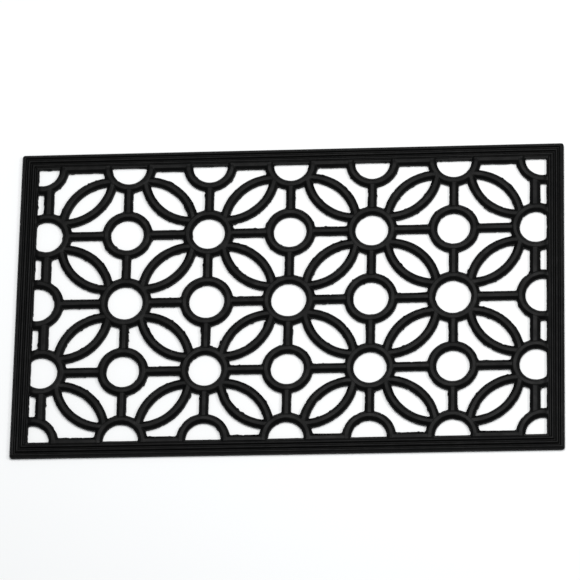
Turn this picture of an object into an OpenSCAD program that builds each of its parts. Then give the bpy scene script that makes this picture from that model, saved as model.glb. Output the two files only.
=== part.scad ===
// Openwork rubber scraper door mat: a ribbed border round a lattice of rings,
// bars and pointed petals. Millimetres, +Z up, origin at the middle of the underside.
// Rows run left to right and are counted from the back (+Y); columns are counted from the left (-X).

/* [Overall] */
// Length of the mat, left to right
mat_l = 760; // [750:1:800]
// Depth of the mat, front to back
mat_w = 452; // [445:1:480]
// Thickness at the crests of the rings, the highest points
mat_t = 8; // [7:0.1:12]

/* [Lattice] */
// Distance between neighbouring columns of rings
col_pitch = 113.8; // [112:0.1:115]
// Distance between neighbouring rows of rings
row_pitch = 101.6; // [100:0.1:102]
// Width of every bar, ring and petal blade at the underside
band_w = 12.7; // [10:0.1:14]
// Height of the upright side walls
wall_h = 4.4; // [3:0.1:5]
// Width of the flat mould ledge at the top of each side wall
ledge_w = 0.5; // [0.3:0.1:1]
// Height of the small upright step from the ledge to the rounded top
step_h = 0.5; // [0.3:0.1:1]
// Radius of the crest of the rings in the middle, front and back rows
ring_r_wide = 30.8; // [30:0.1:31.5]
// Radius of the crest of the rings in the other two rows
ring_r_small = 29.2; // [28:0.1:30]
// How far the middle of a petal blade bows out from the petal's axis
petal_bow = 18.1; // [15:0.1:20]
// How much lower the petals' crests are than the rings'
petal_drop = 0.3; // [0.2:0.1:1]
// How much lower the bars' crests are than the rings'
bar_drop = 0.6; // [0.5:0.1:1.5]

/* [Border] */
// Width of the front and back rails, out to the crest of their inner bead
rail_w_long = 22; // [21:0.1:23]
// Width of the left and right rails
rail_w_side = 24; // [23.5:0.1:26]
// Height of the rails' floor between the ribs
rail_floor_h = 5; // [4:0.1:6]
// Distance from the outer edge to the crest of the first rib
rib_first = 3.8; // [3.5:0.1:5]
// Distance from one rib to the next
rib_pitch = 6.2; // [6:0.1:7]
// Radius of the round top of a rib
rib_r = 2.4; // [2:0.1:2.8]
// Radius of the thin bead along the inner edge of the left and right rails
edge_bead_r = 1.6; // [1:0.1:2]
// Radius of the mat's outer corners
corner_r = 4; // [2:0.5:6]
// How far the plain rings at the left and right edges are shifted outwards
edge_shift = 9.6; // [8:0.1:11]
// Distance from the outer side of the mat to the middle of the edge bars
edge_bar_in = 40; // [39:0.1:42]
// Width of the bars beside the left and right rails
edge_bar_w = 14.4; // [13:0.1:15]

/* [Hidden] */
$fn = 96;
// Index of the last row and of the last column of rings, and of the ones through the middle
LAST_ROW = 4;
LAST_COL = 6;
MID_ROW = LAST_ROW / 2;
MID_COL = LAST_COL / 2;
// Number of ribs along each rail
RIB_COUNT = 3;
// Distance from a ring's middle at which its branches hand over to the bars and the petals
HUB_R = 42;
// Gap left between a blade's end and the point where two blades' crests would meet
TIP_GAP = 1;
// Distance by which a cutter runs past what it cuts
OVER = 1;
// Black rubber
RUBBER = [0.13, 0.13, 0.13];

petal_h = mat_t - petal_drop;
bar_h = mat_t - bar_drop;
shoulder_h = wall_h + step_h;
rib_axis_h = bar_h - rib_r;
// The border's inner edge, measured from the mat's middle
inner_x = mat_l / 2 - rail_w_side;
inner_y = mat_w / 2 - rail_w_long;
edge_bar_x = mat_l / 2 - edge_bar_in;

INNER_ROWS = [1:LAST_ROW - 1];
INNER_COLS = [1:LAST_COL - 1];
CELL_ROWS = [1:LAST_ROW];
CELL_COLS = [1:LAST_COL];

function ring_name(row, col) = str("ring_r", row, "_c", col);
function petal_name(row, col) = str("petal_r", row, "_c", col);
function long_bars_name(row) = str("long_bars_r", row);
function cross_bars_name(row) = str("cross_bars_r", row);

// Petals spring from every second ring, as the dark squares of a chessboard
function has_petals(row, col) = (row + col) % 2 == 1;
function at_side(col) = col == 0 || col == LAST_COL;
function shift_of(row, col) = at_side(col) && !has_petals(row, col) ? edge_shift : 0;
function ring_x(row, col) = (col - MID_COL) * col_pitch + sign(col - MID_COL) * shift_of(row, col);
function ring_y(row) = (MID_ROW - row) * row_pitch;
function ring_at(row, col) = [ring_x(row, col), ring_y(row)];
function crest_r(row) = row % 2 == 0 ? ring_r_wide : ring_r_small;

// The two rings that a petal joins, for the cell whose lower right corner is ring (row, col)
function petal_from(row, col) = has_petals(row - 1, col - 1) ? [row - 1, col - 1] : [row - 1, col];
function petal_to(row, col) = has_petals(row - 1, col - 1) ? [row, col] : [row, col - 1];

// Cross-section of a band: upright walls, a narrow ledge and a rounded top
module band_section(width, crest_h) {
    half = width / 2 - ledge_w;
    rise = crest_h - shoulder_h;
    dome_r = (half * half + rise * rise) / (2 * rise);
    translate([-width / 2, 0]) square([width, wall_h]);
    intersection() {
        translate([0, crest_h - dome_r]) circle(r = dome_r);
        translate([-half, wall_h - OVER]) square([2 * half, crest_h - wall_h + 2 * OVER]);
    }
}

// Straight band from one point towards a heading, in degrees from +X
module straight_band(start, heading, length, width) {
    translate(start) rotate([90, 0, heading + 90]) linear_extrude(length) band_section(width, bar_h);
}

// Curved band round the origin, centred on the +Y side and spread by half_angle each way
module arc_band(radius, half_angle, crest_h) {
    rotate([0, 0, 90 - half_angle])
        rotate_extrude(angle = 2 * half_angle) translate([radius, 0]) band_section(band_w, crest_h);
}

module ring_band(row) {
    rotate_extrude() translate([crest_r(row), 0]) band_section(band_w, mat_t);
}

// The two bowed blades of one petal, reaching right into the crests of its two rings
module petal_blades(row, col) {
    from = petal_from(row, col);
    to = petal_to(row, col);
    start = ring_at(from[0], from[1]);
    finish = ring_at(to[0], to[1]);
    span = finish - start;
    along = span / norm(span);
    tip_a = start + along * crest_r(from[0]);
    tip_b = finish - along * crest_r(to[0]);
    chord = norm(tip_b - tip_a);
    radius = (chord * chord / 4 + petal_bow * petal_bow) / (2 * petal_bow);
    half_angle = asin(chord / 2 / radius) - TIP_GAP / radius * 180 / PI;
    translate((tip_a + tip_b) / 2) rotate([0, 0, atan2(span[1], span[0])])
        for (side = [0, 1])
            mirror([0, side, 0])
                translate([0, petal_bow - radius]) arc_band(radius, half_angle, petal_h);
}

// Upright disc that bounds a ring and its branches
module hub_disc(row, col) {
    translate([each ring_at(row, col), -OVER]) cylinder(r = HUB_R, h = mat_t + 2 * OVER);
}

module inside_border() {
    translate([-inner_x, -inner_y, -OVER]) cube([2 * inner_x, 2 * inner_y, mat_t + 2 * OVER]);
}

// Band along a row line: the outermost rows' lie on the crest of the rail's inner bead
function row_line_y(row) = row == 0 ? inner_y : row == LAST_ROW ? -inner_y : ring_y(row);
// Band along a column line: the outermost columns' are the edge bars
function col_line_x(col) = col == 0 ? -edge_bar_x : col == LAST_COL ? edge_bar_x : ring_x(MID_ROW, col);
function col_line_w(col) = at_side(col) ? edge_bar_w : band_w;

// The stubs of the bars that meet a ring, from its crest out past the hub
module bar_stubs(row, col) {
    reach = HUB_R + OVER - crest_r(row);
    for (side = [-1, 1]) {
        straight_band([ring_x(row, col) + side * crest_r(row), row_line_y(row)], 90 - side * 90, reach, band_w);
        straight_band([col_line_x(col), ring_y(row) + side * crest_r(row)], side * 90, reach, col_line_w(col));
    }
}

// The petals of the cells round a ring
module petals_round(row, col) {
    for (r = [max(1, row):min(LAST_ROW, row + 1)], c = [max(1, col):min(LAST_COL, col + 1)])
        petal_blades(r, c);
}

// A ring with the stubs of all that branches from it, bounded by the hub and the border
module ring(row, col) {
    color(RUBBER)
        intersection() {
            union() {
                translate(ring_at(row, col)) ring_band(row);
                bar_stubs(row, col);
                if (has_petals(row, col)) petals_round(row, col);
            }
            hub_disc(row, col);
            inside_border();
        }
}

module petal(row, col) {
    from = petal_from(row, col);
    to = petal_to(row, col);
    color(RUBBER)
        difference() {
            petal_blades(row, col);
            hub_disc(from[0], from[1]);
            hub_disc(to[0], to[1]);
        }
}

// Bar from one ring to the next on its right
module long_bar(row, col) {
    start = ring_at(row, col - 1);
    color(RUBBER)
        difference() {
            straight_band(start, 0, ring_x(row, col) - start[0], band_w);
            hub_disc(row, col - 1);
            hub_disc(row, col);
        }
}

// Bar from one ring to the next one in front of it
module cross_bar(row, col) {
    color(RUBBER)
        difference() {
            straight_band([col_line_x(col), ring_y(row - 1)], -90, row_pitch, col_line_w(col));
            hub_disc(row - 1, col);
            hub_disc(row, col);
        }
}

// Ribs of a rail's cross-section, counted from its outer edge
module rail_ribs() {
    for (i = [0:RIB_COUNT - 1])
        translate([rib_first + i * rib_pitch, rib_axis_h]) circle(r = rib_r);
}

// Space beyond the mitre line, on the side of the corner that another rail fills
module mitre_wedge() {
    far = rail_w_side + OVER;
    translate([0, 0, -OVER]) linear_extrude(mat_t + 2 * OVER)
        polygon([[-OVER, -OVER], [rail_w_long, rail_w_long], [far, rail_w_long], [far, -OVER]]);
}

// What the rounding takes off an outer corner at the origin
module corner_waste() {
    difference() {
        translate([-OVER, -OVER, -OVER]) cube([corner_r + OVER, corner_r + OVER, mat_t + 2 * OVER]);
        translate([corner_r, corner_r, -2 * OVER]) cylinder(r = corner_r, h = mat_t + 4 * OVER);
    }
}

// Repeats a cutter made for the front left corner at both ends of the front rail
module at_front_corners() {
    for (end = [0, 1])
        mirror([end, 0, 0]) translate([-mat_l / 2, -mat_w / 2]) children();
}

// Repeats a cutter made for the front left corner at both ends of the left rail
module at_left_corners() {
    for (end = [0, 1])
        mirror([0, end, 0]) translate([-mat_l / 2, -mat_w / 2]) children();
}

// Front rail with its inner bead, whose inner half is cut away at each half ring
module rail_front() {
    color(RUBBER)
        difference() {
            translate([-mat_l / 2, -mat_w / 2]) rotate([90, 0, 90]) linear_extrude(mat_l) {
                square([rail_w_long, rail_floor_h]);
                rail_ribs();
                translate([rail_w_long, 0]) band_section(band_w, bar_h);
            }
            for (col = [0:LAST_COL])
                intersection() {
                    hub_disc(LAST_ROW, col);
                    translate([-mat_l / 2 - OVER, -inner_y, -2 * OVER])
                        cube([mat_l + 2 * OVER, band_w, mat_t + 4 * OVER]);
                }
            at_front_corners() mirror([1, -1, 0]) mitre_wedge();
            at_front_corners() corner_waste();
        }
}

module rail_back() {
    mirror([0, 1, 0]) rail_front();
}

module rail_left() {
    color(RUBBER)
        difference() {
            translate([-mat_l / 2, mat_w / 2]) rotate([90, 0, 0]) linear_extrude(mat_w) {
                square([rail_w_side, rail_floor_h]);
                rail_ribs();
                translate([rail_w_long, rail_floor_h]) circle(r = edge_bead_r);
            }
            at_left_corners() mitre_wedge();
            at_left_corners() corner_waste();
        }
}

module rail_right() {
    mirror([1, 0, 0]) rail_left();
}

// The parts of rings that the border cuts off, and the bars beside the border
module half_rings(row) {
    for (col = INNER_COLS) ring(row, col);
}

module part_rings(col) {
    for (row = INNER_ROWS) ring(row, col);
}

module corner_rings() {
    for (row = [0, LAST_ROW], col = [0, LAST_COL]) ring(row, col);
}

module edge_bars(col) {
    for (row = CELL_ROWS) cross_bar(row, col);
}

module long_bars(row) {
    for (col = CELL_COLS) long_bar(row, col);
}

module cross_bars(row) {
    for (col = INNER_COLS) cross_bar(row, col);
}

rail_back();
rail_front();
rail_left();
rail_right();
half_rings(0);  // half_rings_back
half_rings(LAST_ROW);  // half_rings_front
part_rings(0);  // part_rings_left
part_rings(LAST_COL);  // part_rings_right
corner_rings();
edge_bars(0);  // edge_bars_left
edge_bars(LAST_COL);  // edge_bars_right
for (row = INNER_ROWS)
    long_bars(row);
for (row = CELL_ROWS)
    cross_bars(row);
for (row = INNER_ROWS, col = INNER_COLS)
    ring(row, col);
for (row = CELL_ROWS, col = CELL_COLS)
    petal(row, col);
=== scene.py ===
"""Openwork rubber scraper door mat, modelled as one continuous moulding cut into named pieces.

The top of the moulding is a height field over the floor plane. It is sampled on a grid, clipped
to the outline, cut where the CAD nodes meet, and closed with walls and an underside, so that
each CAD node is replaced by one closed piece whose edges match its neighbours' exactly.
"""

import math

import bpy
import numpy as np
from mathutils import Matrix, Vector
from mathutils.geometry import delaunay_2d_cdt


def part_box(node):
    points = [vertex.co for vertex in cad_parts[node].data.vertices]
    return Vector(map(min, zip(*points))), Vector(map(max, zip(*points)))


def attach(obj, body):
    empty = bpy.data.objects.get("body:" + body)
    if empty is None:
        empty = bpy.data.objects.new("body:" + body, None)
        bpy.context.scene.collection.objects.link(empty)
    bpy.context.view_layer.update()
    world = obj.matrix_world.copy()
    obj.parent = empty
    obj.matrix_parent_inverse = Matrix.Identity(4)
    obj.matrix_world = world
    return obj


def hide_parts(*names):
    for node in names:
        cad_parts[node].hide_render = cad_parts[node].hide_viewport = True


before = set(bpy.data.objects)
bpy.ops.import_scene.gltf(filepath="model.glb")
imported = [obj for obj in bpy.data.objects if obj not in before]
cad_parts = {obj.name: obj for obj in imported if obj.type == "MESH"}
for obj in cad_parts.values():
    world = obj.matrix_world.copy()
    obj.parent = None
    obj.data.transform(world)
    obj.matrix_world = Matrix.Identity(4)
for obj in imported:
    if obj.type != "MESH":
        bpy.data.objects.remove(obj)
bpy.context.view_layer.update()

MM = 0.001

# ---------------------------------------------------------------- sizes, from the frame
HALF_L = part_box("rail_right")[1].x
HALF_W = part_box("rail_back")[1].y
CREST_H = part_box("ring_r2_c3")[1].z


def middle(node):
    low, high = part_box(node)
    return (low + high) / 2


COL_PITCH = middle("ring_r1_c2").x - middle("ring_r1_c1").x
ROW_PITCH = middle("ring_r1_c1").y - middle("ring_r2_c1").y
HUB_R = (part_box("ring_r2_c3")[1].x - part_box("ring_r2_c3")[0].x) / 2
INNER_X = -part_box("rail_left")[1].x
INNER_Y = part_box("half_rings_back")[1].y

# ---------------------------------------------------------------- sizes of the moulding's features
LAST_COL, LAST_ROW = 6, 4
MID_COL, MID_ROW = LAST_COL // 2, LAST_ROW // 2

BAND_W = 12.7 * MM
EDGE_BAR_W = 14.4 * MM
EDGE_BAR_X = HALF_L - 40 * MM
# radius of the rings' crests in even and in odd rows, counted from the middle row
RING_R = {0: 30.8 * MM, 1: 29.2 * MM}
# how far the plain rings of the end columns lie beyond their column
EDGE_SHIFT = 9.6 * MM
PETAL_BOW = 18.1 * MM

# heights above the floor; the wall is upright up to WALL_H
WALL_H = 4.4 * MM
PETAL_H = CREST_H - 0.3 * MM
BAR_H = CREST_H - 0.6 * MM
RAIL_FLOOR_H = 5 * MM

# the border's ribs and the bead of its left and right rails, placed from the outer edge
RIB_FIRST = 3.8 * MM
RIB_PITCH = 6.2 * MM
RIB_HALF = 2.5 * MM
RIB_COUNT = 3
RIB_ROUNDNESS = 2.5
RIB_BLEND = 0.3 * MM
RIM_ROUND = 0.9 * MM
CORNER_R = 4 * MM
EDGE_BEAD_E = 22 * MM
EDGE_BEAD_HALF = 1.7 * MM
EDGE_BEAD_H = 6.5 * MM

# a band's section: share of its half width that is flat, and softness of the shoulder
PLATEAU = 0.3
SHOULDER = 0.25
# how far a section goes on falling past its edge, in half widths
BAND_REACH = 1.4
RIB_REACH = 1.2

DRAFT = 0.15 * MM
SPREAD = 0.1 * MM
CORNER_FILLET = 2.6 * MM
BORDER_FILLET = 2.4 * MM
CREST_BLEND = 0.5 * MM
FLANK_CUT = 2
RING_FADE = 6 * MM
FAR = 1.0

# ---------------------------------------------------------------- unevenness: size and spacing of each kind
WAVE, WAVE_CELL = 0.2 * MM, 14 * MM
RIPPLE, RIPPLE_CELL = 0.13 * MM, 3.2 * MM
NICK, NICK_CELL = 2 * MM, 4.5 * MM
TAG, TAG_CELL = 3 * MM, 5.5 * MM
RARE = 0.6
SAG, SAG_CELL = 0.05 * MM, 22 * MM
WEAR, WEAR_CELL = 0.02 * MM, 5 * MM
FLASH, FLASH_CELL = 0.7 * MM, 7 * MM
FLASH_FROM = 0.35
# the outer edge is even up to here, and the unevenness grows over the fade
EVEN_RIM, RIM_FADE = 8 * MM, 6 * MM
SEED = 7

# ---------------------------------------------------------------- the mesh
CELL = 1.0 * MM
BORDER_CELL = 0.5 * MM
SNAP = 0.03 * MM
# an outline vertex keeps this share of its cell's side away from the corners
SIDE_MARGIN = 0.03
BISECTIONS = 12
# rings are parted from their branches a little outside the CAD's circle, clear of the petals' notches
HUB_CUT = HUB_R + 1 * MM
# steps from cell to cell in which a piece's bulk is found, and a scrap beside it taken over
BULK_REACH, SCRAP_REACH = 12, 3
SLOPE_STEP = 0.2 * MM
LIP_DROP, LIP_OUT = 0.3 * MM, 0.1 * MM
FLASH_T = 0.3 * MM
FLASH_TOP_OUT = 0.9 * DRAFT


# ---------------------------------------------------------------- noise and blending
def value_noise(x, y, cell, seed):
    """Smooth random bumps from -1 to 1, about one cell apart."""
    size = 256
    table = np.random.default_rng(SEED + seed).uniform(-1, 1, (size, size))
    u, v = x / cell + size / 2, y / cell + size / 2
    i, j = np.floor(u).astype(int), np.floor(v).astype(int)
    s, t = u - i, v - j
    s, t = s * s * (3 - 2 * s), t * t * (3 - 2 * t)
    i, j, i2, j2 = i % size, j % size, (i + 1) % size, (j + 1) % size
    a = table[i, j] * (1 - s) + table[i2, j] * s
    b = table[i, j2] * (1 - s) + table[i2, j2] * s
    return a * (1 - t) + b * t


def smooth_max(a, b, width):
    """The larger of two fields, with the crease between them rounded over a width."""
    h = np.clip(1 - np.abs(a - b) / width, 0, 1)
    return np.maximum(a, b) + h * h * width / 4


# ---------------------------------------------------------------- the moulding as two fields
def ring_middle(a, b):
    """Middle of the ring a columns and b rows out from the mat's middle."""
    plain = (a + b) % 2 == 1
    return a * COL_PITCH + (EDGE_SHIFT if a == MID_COL and plain else 0), b * ROW_PITCH


def band_height(distance, half, crest):
    """Height of a band's top at a distance from its middle line: a flat crest between soft flanks."""
    t = np.minimum(np.abs(distance) / half, BAND_REACH)
    down = np.maximum(t - PLATEAU, 0) / (1 - PLATEAU)
    fall = (np.hypot(down, SHOULDER) - SHOULDER) / (math.hypot(1, SHOULDER) - SHOULDER)
    return WALL_H + (crest - WALL_H) * (1 - fall)


def petal_distances(x, y, a, b):
    """Distances from the middle lines of the two blades of the petal in one quarter's cell."""
    if (a + b) % 2 == 0:
        start, finish = (a, b), (a + 1, b + 1)
    else:
        start, finish = (a, b + 1), (a + 1, b)
    p, q = np.array(ring_middle(*start)), np.array(ring_middle(*finish))
    along = (q - p) / np.linalg.norm(q - p)
    across = np.array([-along[1], along[0]])
    tip_p = p + along * RING_R[start[1] % 2]
    tip_q = q - along * RING_R[finish[1] % 2]
    chord = np.linalg.norm(tip_q - tip_p)
    radius = (chord**2 / 4 + PETAL_BOW**2) / (2 * PETAL_BOW)
    centre = (tip_p + tip_q) / 2
    s = (x - centre[0]) * along[0] + (y - centre[1]) * along[1]
    t = (x - centre[0]) * across[0] + (y - centre[1]) * across[1]
    beyond = np.maximum(np.abs(s) - chord / 2, 0)
    for side in (1, -1):
        d = np.hypot(s, t * side + radius - PETAL_BOW) - radius
        d = np.where(t * side > -BAND_W, d, FAR)
        yield np.hypot(np.abs(d), beyond)


def edge_distances(x, y):
    """How far inside the mat's outer edges a point lies, from the ends and from the long sides."""
    return HALF_L - np.abs(x), HALF_W - np.abs(y)


def rail_height(ex, ey):
    """Top of the ribbed border."""
    e = np.minimum(ex, ey)
    top = np.full(e.shape, RAIL_FLOOR_H)
    top = top - np.clip(1 - e / RIM_ROUND, 0, 1) ** 2 * (RAIL_FLOOR_H - WALL_H)
    for i in range(RIB_COUNT):
        t = np.minimum(np.abs(e - (RIB_FIRST + i * RIB_PITCH)) / RIB_HALF, RIB_REACH)
        rib = RAIL_FLOOR_H + (BAR_H - RAIL_FLOOR_H) * (1 - t**RIB_ROUNDNESS)
        top = smooth_max(top, rib, RIB_BLEND)
    t = np.minimum(np.abs(ex - EDGE_BEAD_E) / EDGE_BEAD_HALF, RIB_REACH)
    bead = RAIL_FLOOR_H + (EDGE_BEAD_H - RAIL_FLOOR_H) * (1 - t**2)
    return np.where(ex < ey, np.maximum(top, bead), top)


def moulding(x, y):
    """Distance inside the outline (negative outside) and height of the top, at points of the floor."""
    ex, ey = edge_distances(x, y)
    px, py = np.abs(x), np.abs(y)
    inside = np.minimum(INNER_X - px, INNER_Y - py)
    cover, top = lattice(px, py, inside)
    border = smooth_max(px - INNER_X, py - INNER_Y, CORNER_FILLET)
    cover = smooth_max(cover, border, BORDER_FILLET)
    cover = np.minimum(cover, outer_distance(ex, ey))
    rail = rail_height(ex, ey) - FLANK_CUT * np.maximum(inside, 0)
    return cover, np.maximum(top, rail)


def lattice(px, py, inside):
    """The same two fields for the rings and bands inside the border, worked out in one quarter."""
    field = inside > 0
    half = BAND_W / 2 - DRAFT
    cover, top = bars(px, py, field, half)
    for a in range(MID_COL):
        for b in range(MID_ROW):
            for d in petal_distances(px, py, a, b):
                d = np.where(field, d, FAR)
                cover = smooth_max(cover, half - d, CORNER_FILLET)
                top = smooth_max(top, band_height(d, half, PETAL_H), CREST_BLEND)
    # the rings' crests sink to the height of the border's bead where they run into it
    sink = np.clip(1 - inside / RING_FADE, 0, 1) ** 2
    end_h = np.where(INNER_X - px < INNER_Y - py, EDGE_BEAD_H, BAR_H)
    ring_h = CREST_H - (CREST_H - end_h) * sink
    for a in range(MID_COL + 1):
        for b in range(MID_ROW + 1):
            cx, cy = ring_middle(a, b)
            r = np.hypot(px - cx, py - cy)
            crest = RING_R[b % 2]
            near = (r < HUB_R + BAND_W) & (inside > -RING_FADE / 2)
            inner_flank = FLANK_CUT * np.maximum(crest - r, 0)
            ringed = smooth_max(top - inner_flank, band_height(r - crest, half, ring_h), CREST_BLEND)
            top = np.where(near, ringed, top)
            disc = np.where(field, crest + half - r, -FAR)
            merged = np.minimum(smooth_max(cover, disc, CORNER_FILLET), r - crest + half)
            cover = np.where(near, merged, cover)
    return cover, top


def bars(px, py, field, half):
    """The straight bands: distance inside them and the height of their tops."""
    cover, top = np.full(px.shape, -FAR), np.full(px.shape, WALL_H)
    lines = [(py, b * ROW_PITCH, half, field) for b in range(MID_ROW)]
    lines += [(px, a * COL_PITCH, half, field) for a in range(MID_COL)]
    lines += [(px, EDGE_BAR_X, EDGE_BAR_W / 2 - DRAFT, field)]
    lines += [(py, INNER_Y, half, HALF_W - py < HALF_L - px)]
    for coordinate, place, w, where in lines:
        d = np.where(where, np.abs(coordinate - place), FAR)
        cover = smooth_max(cover, w - d, CORNER_FILLET)
        top = smooth_max(top, band_height(d, w, BAR_H), CREST_BLEND)
    return cover, top


def outer_distance(ex, ey):
    """Distance inside the mat's rounded outer outline, less the draft of its wall."""
    qx, qy = np.maximum(CORNER_R - ex, 0), np.maximum(CORNER_R - ey, 0)
    corner = CORNER_R - np.hypot(qx, qy)
    return np.where((qx > 0) & (qy > 0), corner, np.minimum(ex, ey)) - DRAFT


def at_holes(x, y):
    """0 along the mat's outer edge, rising to 1 over the openwork."""
    ex, ey = edge_distances(x, y)
    return np.clip((np.minimum(ex, ey) - EVEN_RIM) / RIM_FADE, 0, 1)


def irregular(x, y):
    """The moulding with the small unevenness of a cheap mould: wavy edges, nicks and a worn top."""
    cover, top = moulding(x, y)
    wave = WAVE * value_noise(x, y, WAVE_CELL, 1) + RIPPLE * value_noise(x, y, RIPPLE_CELL, 2)
    nick = NICK * np.clip(value_noise(x, y, NICK_CELL, 3) - RARE, 0, 1)
    tag = TAG * np.clip(value_noise(x, y, TAG_CELL, 4) - RARE, 0, 1)
    cover = cover + at_holes(x, y) * (SPREAD + wave - nick + tag)
    sag = SAG * (value_noise(x, y, SAG_CELL, 5) - 1)
    wear = WEAR * (value_noise(x, y, WEAR_CELL, 6) - 1)
    return cover, top + (sag + wear)


def slopes(x, y):
    """Gradients of the outline distance and of the top's height."""
    right, left = irregular(x + SLOPE_STEP, y), irregular(x - SLOPE_STEP, y)
    back, front = irregular(x, y + SLOPE_STEP), irregular(x, y - SLOPE_STEP)
    return [
        np.stack([right[k] - left[k], back[k] - front[k]], axis=-1) / (2 * SLOPE_STEP)
        for k in (0, 1)
    ]


# ---------------------------------------------------------------- the plan, cut into cells
def border_lines(reach):
    """Grid lines across the border, as distances from the outer edge."""
    rail = HALF_W - INNER_Y
    lines = np.linspace(0, rail, round(rail / BORDER_CELL) + 1)
    if reach - rail > BORDER_CELL / 2:
        more = round((reach - rail) / BORDER_CELL)
        lines = np.append(lines, np.linspace(rail, reach, more + 1)[1:])
    return lines


def grid_lines(inner, half):
    """Grid lines right across the mat, closer together over the border."""
    middle_lines = np.linspace(-inner, inner, 2 * math.ceil(inner / CELL) + 1)
    edge = half - border_lines(half - inner)
    return np.concatenate([-edge[:-1], middle_lines, edge[:-1][::-1]])


class Plan:
    """The moulding seen from above, as polygons that share their vertices."""

    def __init__(self):
        self.x, self.y = np.empty(0), np.empty(0)
        self.quads = np.empty((0, 4), int)
        self.others = []
        self.outline = set()

    def add_points(self, x, y):
        first = len(self.x)
        self.x, self.y = np.append(self.x, x), np.append(self.y, y)
        return first

    def clip_grid(self, xs, ys):
        """Keeps the cells inside the outline, and clips those that it crosses."""
        gx, gy = np.meshgrid(xs, ys, indexing="ij")
        inside = irregular(gx, gy)[0] > 0
        self.add_points(gx.ravel(), gy.ravel())
        ids = np.arange(gx.size).reshape(gx.shape)
        along_x = self.crossings(ids[:-1], ids[1:], inside[:-1], inside[1:])
        along_y = self.crossings(ids[:, :-1], ids[:, 1:], inside[:, :-1], inside[:, 1:])
        corners = np.stack([ids[:-1, :-1], ids[1:, :-1], ids[1:, 1:], ids[:-1, 1:]], axis=-1)
        kept = np.stack([inside[:-1, :-1], inside[1:, :-1], inside[1:, 1:], inside[:-1, 1:]], axis=-1)
        sides = np.stack([along_x[:, :-1], along_y[1:], along_x[:, 1:], along_y[:-1]], axis=-1)
        full = kept.all(axis=-1)
        self.quads = corners[full]
        part = kept.any(axis=-1) & ~full
        clipped = zip(corners[part].tolist(), kept[part].tolist(), sides[part].tolist())
        for corner, keep, side in clipped:
            polygon, exits = [], set()
            for k in range(4):
                if keep[k]:
                    polygon.append(corner[k])
                if side[k] >= 0:
                    polygon.append(side[k])
                    if keep[k]:
                        exits.add(side[k])
            self.others.append(polygon)
            self.outline.update(pair for pair in edges_of(polygon) if pair[0] in exits)

    def crossings(self, a, b, a_in, b_in):
        """Vertices where the outline crosses the grid's edges from a to b; -1 where it doesn't."""
        result = np.full(a.shape, -1)
        crossed = a_in != b_in
        if not crossed.any():
            return result
        start, end = np.where(a_in, a, b)[crossed], np.where(a_in, b, a)[crossed]
        x0, y0, x1, y1 = self.x[start], self.y[start], self.x[end], self.y[end]
        low, high = np.zeros(len(start)), np.ones(len(start))
        for _ in range(BISECTIONS):
            t = (low + high) / 2
            inside = irregular(x0 + (x1 - x0) * t, y0 + (y1 - y0) * t)[0] > 0
            low, high = np.where(inside, t, low), np.where(inside, high, t)
        t = np.clip(low, SIDE_MARGIN, 1 - SIDE_MARGIN)
        first = self.add_points(x0 + (x1 - x0) * t, y0 + (y1 - y0) * t)
        result[crossed] = first + np.arange(len(start))
        return result

    def cut_along(self, curve):
        """Cuts the polygons that a curve crosses, where its function changes sign."""
        g = curve(self.x, self.y)
        sign = np.where(np.abs(g) < SNAP, 0, np.sign(g)).astype(int)
        mixed = (sign[self.quads].min(axis=1) < 0) & (sign[self.quads].max(axis=1) > 0)
        todo, self.others = self.others + self.quads[mixed].tolist(), []
        self.quads = self.quads[~mixed]
        sign, g = sign.tolist(), g.tolist()
        made = {}
        xs, ys = self.x.tolist(), self.y.tolist()

        def crossing(a, b):
            key = (min(a, b), max(a, b))
            if key not in made:
                t = g[a] / (g[a] - g[b])
                made[key] = len(xs)
                xs.append(xs[a] + (xs[b] - xs[a]) * t)
                ys.append(ys[a] + (ys[b] - ys[a]) * t)
                sign.append(0)
            return made[key]

        for polygon in todo:
            signs = [sign[p] for p in polygon]
            if min(signs) >= 0 or max(signs) <= 0:
                self.others.append(polygon)
                continue
            filled = []
            for a, b in edges_of(polygon):
                filled.append(a)
                if sign[a] * sign[b] < 0:
                    m = crossing(a, b)
                    filled.append(m)
                    if (a, b) in self.outline:
                        self.outline.discard((a, b))
                        self.outline.update([(a, m), (m, b)])
            self.others += halves(filled, sign)
        self.x, self.y = np.array(xs), np.array(ys)


def edges_of(polygon):
    return zip(polygon, polygon[1:] + polygon[:1])


def halves(polygon, sign):
    """The two halves of a polygon, cut at its two vertices on the curve."""
    on_curve = [k for k, p in enumerate(polygon) if sign[p] == 0]
    if len(on_curve) != 2:
        return [polygon]
    i, j = on_curve
    if j - i == 1 or j - i == len(polygon) - 1:
        return [polygon]
    return [polygon[i:j + 1], polygon[j:] + polygon[:i + 1]]


# ---------------------------------------------------------------- which node each cell belongs to
def ring_middles(col, row):
    """Middle of the ring nearest to a place in the lattice; columns from the left, rows from the back."""
    a, b = col - MID_COL, MID_ROW - row
    plain = (a + b) % 2 == 1
    shift = np.where((np.abs(a) == MID_COL) & plain, EDGE_SHIFT, 0)
    return a * COL_PITCH + np.sign(a) * shift, b * ROW_PITCH


def nearest_ring(x, y):
    col = np.clip(np.rint(x / COL_PITCH), -MID_COL, MID_COL).astype(int) + MID_COL
    row = MID_ROW - np.clip(np.rint(y / ROW_PITCH), -MID_ROW, MID_ROW).astype(int)
    return col, row


def outside_hub(x, y):
    """Distance outside the disc in which a ring and its branches belong to the ring's node."""
    cx, cy = ring_middles(*nearest_ring(x, y))
    return np.hypot(x - cx, y - cy) - HUB_CUT


def mitre(x, y):
    """Which side of the border's mitre a point is on; 1 away from the corners."""
    ex, ey = edge_distances(x, y)
    rail = HALF_W - INNER_Y + SNAP
    return np.where((ex < rail) & (ey < rail), ex - ey, FAR)


RAIL, RING, LONG_BAR, CROSS_BAR, PETAL = range(5)


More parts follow.
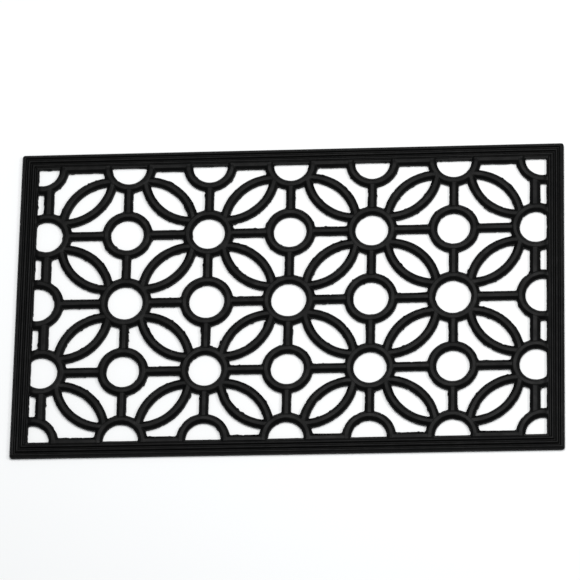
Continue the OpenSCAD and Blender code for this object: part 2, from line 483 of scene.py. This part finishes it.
def owners(x, y):
    """Kind, column and row of the node that each point belongs to."""
    col, row = nearest_ring(x, y)
    cell_col = np.clip(np.floor(x / COL_PITCH), -MID_COL, MID_COL - 1).astype(int) + MID_COL + 1
    cell_row = MID_ROW - np.clip(np.floor(y / ROW_PITCH), -MID_ROW, MID_ROW - 1).astype(int)
    out = col - MID_COL
    line_x = np.where(np.abs(out) == MID_COL, np.sign(x) * EDGE_BAR_X, out * COL_PITCH)
    line_row = np.clip(row, 1, LAST_ROW - 1)
    px, py = np.abs(x), np.abs(y)
    blade = np.full(x.shape, FAR)
    for a in range(MID_COL):
        for b in range(MID_ROW):
            for d in petal_distances(px, py, a, b):
                blade = np.minimum(blade, d)
    to_feature = np.stack([
        np.abs(py - INNER_Y), np.abs(y - (MID_ROW - line_row) * ROW_PITCH), np.abs(x - line_x), blade,
    ])
    kind = np.array([RAIL, LONG_BAR, CROSS_BAR, PETAL])[to_feature.argmin(axis=0)]
    kind = np.where(outside_hub(x, y) < 0, RING, kind)
    # the border's wavy inner edge belongs to the rails, except where a band reaches it
    inside = np.minimum(INNER_X - px, INNER_Y - py)
    kind = np.where((inside < CELL) & (lattice(px, py, inside)[0] < 0), RAIL, kind)
    kind = np.where(inside < 0, RAIL, kind)
    # rings are numbered by their lattice point, long bars by their row, the rest by their cell
    col = np.where(kind == PETAL, cell_col, col)
    row = np.select([kind == LONG_BAR, (kind == CROSS_BAR) | (kind == PETAL)], [line_row, cell_row], row)
    # a rail is told by its column or row; the left and right ones have the end side of the mitre
    ex, ey = edge_distances(x, y)
    at_end = (kind == RAIL) & (ex < HALF_L - INNER_X + CELL) & ((ex < ey) | (py < INNER_Y))
    along = (kind == RAIL) & ~at_end
    col = np.select([along, at_end], [MID_COL, np.where(x < 0, 0, LAST_COL)], col)
    row = np.select([along, at_end], [np.where(y > 0, 0, LAST_ROW), MID_ROW], row)
    return kind, col, row


def node_name(kind, col, row):
    side = {0: "left", LAST_COL: "right"}.get(col)
    end = {0: "back", LAST_ROW: "front"}.get(row)
    if kind == RAIL:
        return f"rail_{side or end}"
    if kind == RING:
        if side and end:
            return "corner_rings"
        return f"part_rings_{side}" if side else f"half_rings_{end}" if end else f"ring_r{row}_c{col}"
    if kind == CROSS_BAR:
        return f"edge_bars_{side}" if side else f"cross_bars_r{row}"
    return f"long_bars_r{row}" if kind == LONG_BAR else f"petal_r{row}_c{col}"


def sides_of(groups):
    """The sides of all cells as pairs of corners, from one array for each number of corners."""
    return np.concatenate([
        np.stack([group, np.roll(group, -1, axis=1)], axis=-1).reshape(-1, 2) for group in groups
    ])


def neighbours(groups, count):
    """Pairs of cells that share a side; the cells are numbered through all the groups."""
    edges = sides_of(groups)
    corners = np.concatenate([np.full(len(group), group.shape[1]) for group in groups])
    cells = np.repeat(np.arange(len(corners)), corners)
    keys = edges.min(axis=1) * count + edges.max(axis=1)
    order = np.argsort(keys, kind="stable")
    same = keys[order][1:] == keys[order][:-1]
    return cells[order][:-1][same], cells[order][1:][same]


def join_scraps(codes, p, q):
    """Gives the cells that are cut off from the bulk of their piece to the piece beside them."""
    inner = codes[p] == codes[q]
    alike = np.bincount(p[inner], minlength=len(codes)) + np.bincount(q[inner], minlength=len(codes))
    # a cell of the bulk has cells of its own piece on all four sides
    rooted = alike >= 4
    for _ in range(BULK_REACH):
        spread = inner & (rooted[p] | rooted[q])
        rooted[p[spread]] = True
        rooted[q[spread]] = True
    for _ in range(SCRAP_REACH):
        for a, b in ((p, q), (q, p)):
            taken = rooted[a] & ~rooted[b]
            codes[b[taken]] = codes[a[taken]]
            rooted[b[taken]] = True
    return codes


# ---------------------------------------------------------------- closed pieces
class Shell:
    """Vertices, faces and face-corner normals of one closed piece."""

    def __init__(self):
        self.points, self.count = [], 0
        self.sizes, self.corners, self.normals = [], [], []

    def add_points(self, points):
        first = self.count
        self.points.append(points)
        self.count += len(points)
        return first + np.arange(len(points))

    def add_faces(self, faces, normals):
        faces = np.asarray(faces)
        self.sizes.append(np.full(len(faces), faces.shape[1]))
        self.corners.append(faces.ravel())
        self.normals.append(np.broadcast_to(normals, faces.shape + (3,)).reshape(-1, 3))

    def make(self, name):
        mesh = bpy.data.meshes.new(name)
        corners, sizes = np.concatenate(self.corners), np.concatenate(self.sizes)
        mesh.vertices.add(self.count)
        mesh.vertices.foreach_set("co", np.concatenate(self.points).ravel())
        mesh.loops.add(len(corners))
        mesh.loops.foreach_set("vertex_index", corners)
        mesh.polygons.add(len(sizes))
        mesh.polygons.foreach_set("loop_start", np.concatenate([[0], np.cumsum(sizes)[:-1]]))
        mesh.polygons.foreach_set("use_smooth", np.ones(len(sizes), bool))
        mesh.update(calc_edges=True)
        mesh.normals_split_custom_set(np.concatenate(self.normals).tolist())
        piece = bpy.data.objects.new(name, mesh)
        bpy.context.collection.objects.link(piece)
        return piece


def upward(slope):
    normal = np.concatenate([-slope, np.ones(slope.shape[:-1] + (1,))], axis=-1)
    return normal / np.linalg.norm(normal, axis=-1, keepdims=True)


def level(direction):
    """Unit vectors in the floor plane, as 3-D vectors."""
    length = np.maximum(np.linalg.norm(direction, axis=-1, keepdims=True), 1e-12)
    return np.concatenate([direction / length, np.zeros(direction.shape[:-1] + (1,))], axis=-1)


class Casting:
    """Columns of vertices under the plan: the top's, and on the outline those of the side wall."""

    def __init__(self, plan):
        self.plan = plan
        x, y = plan.x, plan.y
        count = len(x)
        self.count = count
        pairs = np.array(sorted(plan.outline))
        self.outline_keys = pairs[:, 0] * count + pairs[:, 1]
        self.on_outline = np.zeros(count, bool)
        self.on_outline[pairs.ravel()] = True
        used = np.zeros(count, bool)
        used[plan.quads.ravel()] = True
        used[np.concatenate([np.array(p) for p in plan.others])] = True
        top = np.zeros(count)
        self.normal, self.out = np.zeros((count, 3)), np.zeros((count, 3))
        top[used] = irregular(x[used], y[used])[1]
        cover_slope, top_slope = slopes(x[used], y[used])
        self.normal[used] = upward(top_slope)
        self.out[used] = level(-cover_slope)
        flash = FLASH * np.clip(value_noise(x, y, FLASH_CELL, 8) - FLASH_FROM, 0, 1) * at_holes(x, y)
        heights = [top, top - LIP_DROP, np.full(count, FLASH_T), np.zeros(count)]
        reaches = [np.zeros(count), np.full(count, LIP_OUT), FLASH_TOP_OUT + flash, DRAFT + flash]
        plain = np.stack([x, y, np.zeros(count)], axis=-1)
        self.levels = []
        for z, reach in zip(heights, reaches):
            place = plain + self.out * (reach * self.on_outline)[:, None]
            place[:, 2] = z
            self.levels.append(place)

    def piece(self, name, polygons):
        """One closed piece from arrays of polygons, one array for each number of corners."""
        shell = Shell()
        edges = sides_of(polygons)
        keys, back = edges @ [self.count, 1], edges @ [1, self.count]
        rim = edges[~np.isin(keys, back)]
        index = np.full((len(self.levels), self.count), -1)
        ids = np.unique(edges)
        index[0, ids] = shell.add_points(self.levels[0][ids])
        rim_ids = np.unique(rim)
        wall_ids = rim_ids[self.on_outline[rim_ids]]
        for k in range(1, len(self.levels) - 1):
            index[k, wall_ids] = shell.add_points(self.levels[k][wall_ids])
        index[-1, rim_ids] = shell.add_points(self.levels[-1][rim_ids])
        for group in polygons:
            shell.add_faces(index[0][group], self.normal[group])
        is_wall = np.isin(rim @ [self.count, 1], self.outline_keys)
        self.add_walls(shell, index, rim[is_wall])
        self.add_cuts(shell, index, rim[~is_wall])
        triangles = underside(rim, self.levels[0][:, :2])
        shell.add_faces(index[-1][triangles[:, ::-1]], np.array([0, 0, -1.0]))
        return shell.make(name)

    def add_walls(self, shell, index, edges):
        """The moulded side wall: a rounded lip, the wall itself and a thin flash at the floor."""
        a, b = edges[:, 0], edges[:, 1]
        for k in range(len(self.levels) - 1):
            faces = np.stack([index[k, b], index[k, a], index[k + 1, a], index[k + 1, b]], axis=-1)
            upper, lower = self.levels[k], self.levels[k + 1]
            run = np.linalg.norm((lower - upper)[:, :2], axis=-1, keepdims=True)
            fall = (upper - lower)[:, 2:]
            normal = self.out * fall + np.array([0, 0, 1.0]) * run
            normal /= np.maximum(np.linalg.norm(normal, axis=-1, keepdims=True), 1e-12)
            first, last = normal, normal
            if k == 0:
                first, last = self.normal, self.out
            shell.add_faces(faces, np.stack([first[b], first[a], last[a], last[b]], axis=1))

    def add_cuts(self, shell, index, edges):
        """Upright faces where a piece meets its neighbours."""
        inner = range(1, len(self.levels) - 1)
        for a_wall in (False, True):
            for b_wall in (False, True):
                chosen = (self.on_outline[edges[:, 0]] == a_wall) & (self.on_outline[edges[:, 1]] == b_wall)
                a, b = edges[chosen, 0], edges[chosen, 1]
                if not len(a):
                    continue
                down = [index[k, a] for k in inner] if a_wall else []
                up = [index[k, b] for k in reversed(inner)] if b_wall else []
                top_side, floor_side = [index[0, b], index[0, a]], [index[-1, a], index[-1, b]]
                faces = np.stack([*top_side, *down, *floor_side, *up], axis=-1)
                run = np.stack([self.plan.x[b] - self.plan.x[a], self.plan.y[b] - self.plan.y[a]], axis=-1)
                normal = level(np.stack([run[:, 1], -run[:, 0]], axis=-1))
                shell.add_faces(faces, normal[:, None])


def underside(edges, places):
    """Triangles that fill the region on the left of the edges, without new vertices."""
    ids, local = np.unique(edges, return_inverse=True)
    local = local.reshape(-1, 2).tolist()
    points = [Vector(p) for p in (places[ids] / MM).tolist()]
    result = delaunay_2d_cdt(points, local, [], 1, 1e-5, True)
    sources = [s[0] if s else -1 for s in result[3]]
    if len(sources) != len(points) or -1 in sources:
        raise ValueError("the underside's outline crosses itself")
    triangles = [[sources[v] for v in t] for t in result[2]]
    forward = {tuple(e) for e in local}
    owner = {pair: k for k, t in enumerate(triangles) for pair in edges_of(t)}
    kept = {k for k, t in enumerate(triangles) if any(pair in forward for pair in edges_of(t))}
    queue = list(kept)
    while queue:
        for a, b in edges_of(triangles[queue.pop()]):
            k = owner.get((b, a))
            if k is not None and k not in kept and (a, b) not in forward and (b, a) not in forward:
                kept.add(k)
                queue.append(k)
    return ids[np.array([triangles[k] for k in sorted(kept)])]


def cast_mat():
    """Builds every piece of the moulding; returns them by the name of the node that each replaces."""
    plan = Plan()
    plan.clip_grid(grid_lines(INNER_X, HALF_L), grid_lines(INNER_Y, HALF_W))
    plan.cut_along(outside_hub)
    plan.cut_along(mitre)
    casting = Casting(plan)
    by_size = {4: [plan.quads]}
    for polygon in plan.others:
        by_size.setdefault(len(polygon), []).append(np.array([polygon]))
    groups = [np.concatenate(by_size[size]) for size in sorted(by_size)]
    x = np.concatenate([plan.x[group].mean(axis=1) for group in groups])
    y = np.concatenate([plan.y[group].mean(axis=1) for group in groups])
    kind, col, row = owners(x, y)
    # a node's code has its kind, row and column as its three digits
    codes = join_scraps((kind * 10 + row) * 10 + col, *neighbours(groups, len(plan.x)))
    parts, first = {}, 0
    for group in groups:
        group_codes = codes[first:first + len(group)]
        first += len(group)
        for code in np.unique(group_codes):
            name = node_name(code // 100, code % 10, code // 10 % 10)
            parts.setdefault(name, []).append(group[group_codes == code])
    return {node: casting.piece(f"moulded_{node}", polygons) for node, polygons in sorted(parts.items())}


# ---------------------------------------------------------------- material
RUBBER_DARK = (0.0016, 0.0016, 0.0017, 1)
RUBBER_LIGHT = (0.0026, 0.0026, 0.0025, 1)
# a lighter grey for the crests: dust, and a painted sheen standing in for the light that their flat tops
# catch
DUST_AND_SHEEN = (0.0082, 0.0080, 0.0076, 1)
DUST_AND_SHEEN_FROM_H = WALL_H + 0.5 * (CREST_H - WALL_H)
SMOOTHEST, ROUGHEST = 0.36, 0.52
SPECULAR = 0.085
GRAIN_DEPTH, SWELL_DEPTH = 0.03 * MM, 0.12 * MM
BUMP_STRENGTH = 0.5


def rubber():
    """Black moulded rubber: satin, finely grained and scuffed, its crests painted a lighter grey that
    stands for dust and for a painted sheen of the light on them.
    """
    material = bpy.data.materials.new("black_rubber")
    material.use_nodes = True
    tree = material.node_tree
    shader = tree.nodes["Principled BSDF"]

    def node(kind, inputs=None, **settings):
        made = tree.nodes.new(kind)
        for key, value in settings.items():
            setattr(made, key, value)
        for key, value in (inputs or {}).items():
            if isinstance(value, bpy.types.NodeSocket):
                tree.links.new(value, made.inputs[key])
            else:
                made.inputs[key].default_value = value
        return made

    place = node("ShaderNodeTexCoord").outputs["Object"]

    def noise(scale, detail, low, high):
        """Noise stretched so that low becomes 0 and high becomes 1."""
        texture = node("ShaderNodeTexNoise", {"Vector": place, "Scale": scale, "Detail": detail})
        spread = node("ShaderNodeMapRange", {
            "Value": texture.outputs["Fac"], "From Min": low, "From Max": high,
        })
        return spread.outputs["Result"]

    def mix(factor, low, high):
        made = node("ShaderNodeMix", data_type="RGBA")
        for socket, value in zip((0, 6, 7), (factor, low, high)):
            if isinstance(value, bpy.types.NodeSocket):
                tree.links.new(value, made.inputs[socket])
            else:
                made.inputs[socket].default_value = value
        return made.outputs[2]

    # from halfway up the bands to their crests the colour fades, in specks, to the lighter grey: dust and a
    # painted sheen on the flat tops
    height = node("ShaderNodeSeparateXYZ", {"Vector": place}).outputs["Z"]
    crest = node("ShaderNodeMapRange", {
        "Value": height, "From Min": DUST_AND_SHEEN_FROM_H, "From Max": CREST_H,
    }).outputs["Result"]
    specks = noise(scale=90, detail=5, low=0.42, high=0.72)
    dust_and_sheen = node("ShaderNodeMath", {0: crest, 1: specks}, operation="MULTIPLY").outputs[0]
    patches = mix(noise(scale=14, detail=3, low=0.35, high=0.65), RUBBER_DARK, RUBBER_LIGHT)
    tree.links.new(mix(dust_and_sheen, patches, DUST_AND_SHEEN), shader.inputs["Base Color"])
    scuffs = noise(scale=55, detail=4, low=0.3, high=0.7)
    rough = node("ShaderNodeMapRange", {
        "Value": scuffs, "To Min": SMOOTHEST, "To Max": ROUGHEST,
    }).outputs["Result"]
    tree.links.new(rough, shader.inputs["Roughness"])
    shader.inputs["Specular IOR Level"].default_value = SPECULAR
    grain = node("ShaderNodeTexNoise", {"Vector": place, "Scale": 2600, "Detail": 2}).outputs["Fac"]
    swell = node("ShaderNodeTexNoise", {"Vector": place, "Scale": 260, "Detail": 3}).outputs["Fac"]
    coarse = node("ShaderNodeBump", {
        "Strength": BUMP_STRENGTH, "Distance": SWELL_DEPTH, "Height": swell,
    })
    fine = node("ShaderNodeBump", {
        "Strength": BUMP_STRENGTH, "Distance": GRAIN_DEPTH, "Height": grain,
        "Normal": coarse.outputs["Normal"],
    })
    tree.links.new(fine.outputs["Normal"], shader.inputs["Normal"])
    return material


# ---------------------------------------------------------------- stage
FLOOR_HALF = 6
FLOOR_COLOUR = (0.93, 0.93, 0.925)
FLOOR_ROUGHNESS = 0.9
SKY_COLOUR = (0.9, 0.95, 1, 1)
SKY_STRENGTH = 0.27

# the camera's pose was fitted to the mat in the photo
CAMERA_PLACE = Vector((0.641, -2.3366, 5.7837))
CAMERA_AIM = Vector((0.0013, 0.0159, 0))
CAMERA_UP = Vector((0.0204, 0.9269, 0.3748))
SENSOR_MM = 36
LENS_MM = 282.04
CLIP_END = 30


def plain_material(name, colour, roughness):
    material = bpy.data.materials.new(name)
    material.use_nodes = True
    shader = material.node_tree.nodes["Principled BSDF"]
    shader.inputs["Base Color"].default_value = (*colour, 1)
    shader.inputs["Roughness"].default_value = roughness
    return material


def floor():
    r = FLOOR_HALF
    corners = [(-r, -r, 0), (r, -r, 0), (r, r, 0), (-r, r, 0)]
    mesh = bpy.data.meshes.new("floor")
    mesh.from_pydata(corners, [], [(0, 1, 2, 3)])
    made = bpy.data.objects.new("floor", mesh)
    bpy.context.collection.objects.link(made)
    made.data.materials.append(plain_material("floor_white", FLOOR_COLOUR, FLOOR_ROUGHNESS))


def softbox(name, place, size, power):
    """A square area light that points at the mat."""
    light = bpy.data.lights.new(name, "AREA")
    light.shape = "SQUARE"
    light.size = size
    light.energy = power
    lamp = bpy.data.objects.new(name, light)
    lamp.location = place
    lamp.rotation_euler = (-Vector(place)).to_track_quat("-Z", "Y").to_euler()
    bpy.context.collection.objects.link(lamp)


def lights():
    softbox("overhead", place=(0.2, 0.7, 3.0), size=2.0, power=80)
    softbox("right", place=(2.2, 0.2, 2.3), size=0.5, power=22)
    world = bpy.data.worlds.new("studio")
    world.use_nodes = True
    background = world.node_tree.nodes["Background"]
    background.inputs["Color"].default_value = SKY_COLOUR
    background.inputs["Strength"].default_value = SKY_STRENGTH
    bpy.context.scene.world = world
    bpy.context.scene.view_settings.view_transform = "Standard"


def camera():
    """Looks down on the mat from the front, a little from the right and slightly tilted."""
    data = bpy.data.cameras.new("camera")
    data.sensor_width = SENSOR_MM
    data.lens = LENS_MM
    data.clip_end = CLIP_END
    made = bpy.data.objects.new("camera", data)
    forward = (CAMERA_AIM - CAMERA_PLACE).normalized()
    right = forward.cross(CAMERA_UP).normalized()
    axes = Matrix((right, right.cross(forward), -forward)).transposed()
    made.matrix_world = Matrix.Translation(CAMERA_PLACE) @ axes.to_4x4()
    bpy.context.collection.objects.link(made)
    bpy.context.scene.camera = made


RUBBER = rubber()
for node, piece in cast_mat().items():
    piece.data.materials.append(RUBBER)
    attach(piece, "root")
    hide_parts(node)
floor()
lights()
camera()
